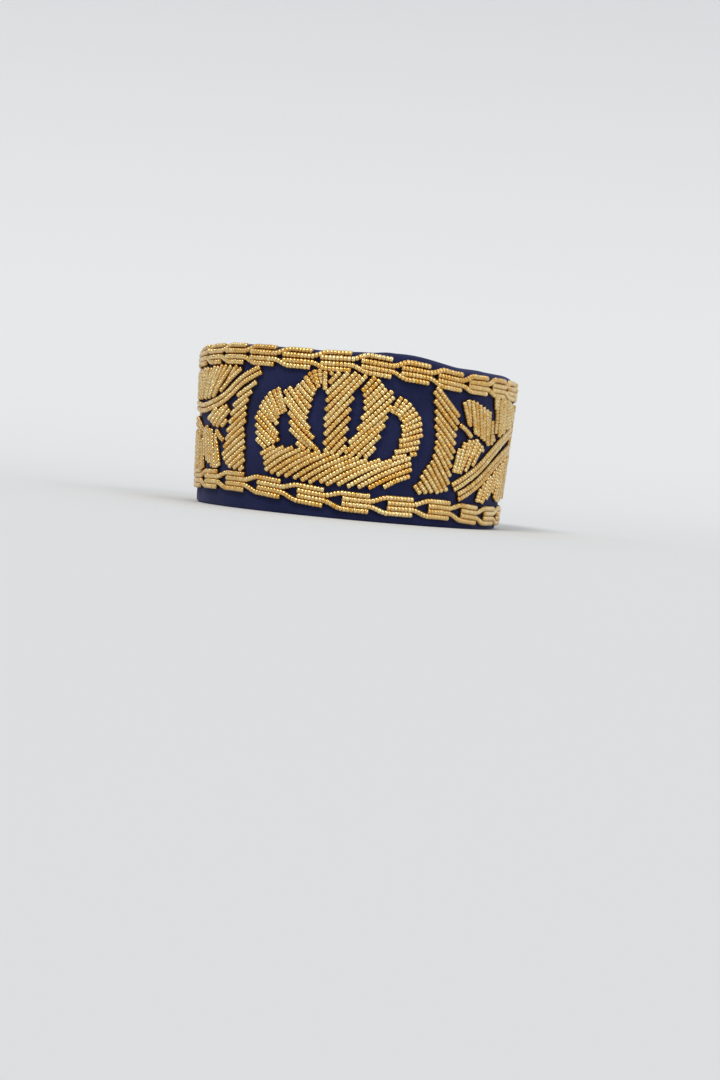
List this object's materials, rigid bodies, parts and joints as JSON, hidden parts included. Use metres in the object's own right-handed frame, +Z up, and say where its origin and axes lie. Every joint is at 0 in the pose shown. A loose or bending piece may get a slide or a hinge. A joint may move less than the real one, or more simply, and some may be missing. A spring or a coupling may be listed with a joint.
{
  "type": "beaded velvet pillbox cap",
  "caption": "Stiff round cap with upright walls and a flat top, in dark velvet, with a bead-embroidered crown, leaf sprays and two bead chains.",
  "frame": {"origin": "middle of the oval rim, on the plane that the rim rests on", "axes": "+Z up through the top, -Y towards the front, where the crown is, and +X to the right of someone looking at the front"},
  "size_m": [0.191, 0.2059, 0.0932],
  "materials": {
    "velvet": "matte cotton velvet, navy",
    "lining": "smooth cloth, blue",
    "beads": "glossy silver-lined gold glass seed beads"
  },
  "bodies": {
    "root": {"back_leaf_back_left": "beads", "back_leaf_back_right": "beads", "back_leaf_front_left": "beads", "back_leaf_front_right": "beads", "crown_emblem_back": "beads", "crown_emblem_front": "beads", "fan_leaf_back_left": "beads", "fan_leaf_back_right": "beads", "fan_leaf_front_left": "beads", "fan_leaf_front_right": "beads", "lining": "lining", "long_leaf_back_left": "beads", "long_leaf_back_right": "beads", "long_leaf_front_left": "beads", "long_leaf_front_right": "beads", "low_leaf_back_left": "beads", "low_leaf_back_right": "beads", "low_leaf_front_left": "beads", "low_leaf_front_right": "beads", "lower_chain": "beads", "lower_stem_back_left": "beads", "lower_stem_back_right": "beads", "lower_stem_front_left": "beads", "lower_stem_front_right": "beads", "middle_leaf_front_left": "beads", "pillar_back_left": "beads", "pillar_back_right": "beads", "pillar_front_left": "beads", "pillar_front_right": "beads", "side_stalk_left": "beads", "side_stalk_right": "beads", "side_wall": "velvet", "thorn_back_left": "beads", "thorn_back_right": "beads", "thorn_front_left": "beads", "thorn_front_right": "beads", "top_panel": "velvet", "upper_chain": "beads", "upper_leaf_back_left": "beads", "upper_leaf_back_right": "beads", "upper_leaf_front_left": "beads", "upper_leaf_front_right": "beads", "upper_stem_back_left": "beads", "upper_stem_back_right": "beads", "upper_stem_front_left": "beads", "upper_stem_front_right": "beads"}
  },
  "joints": []
}
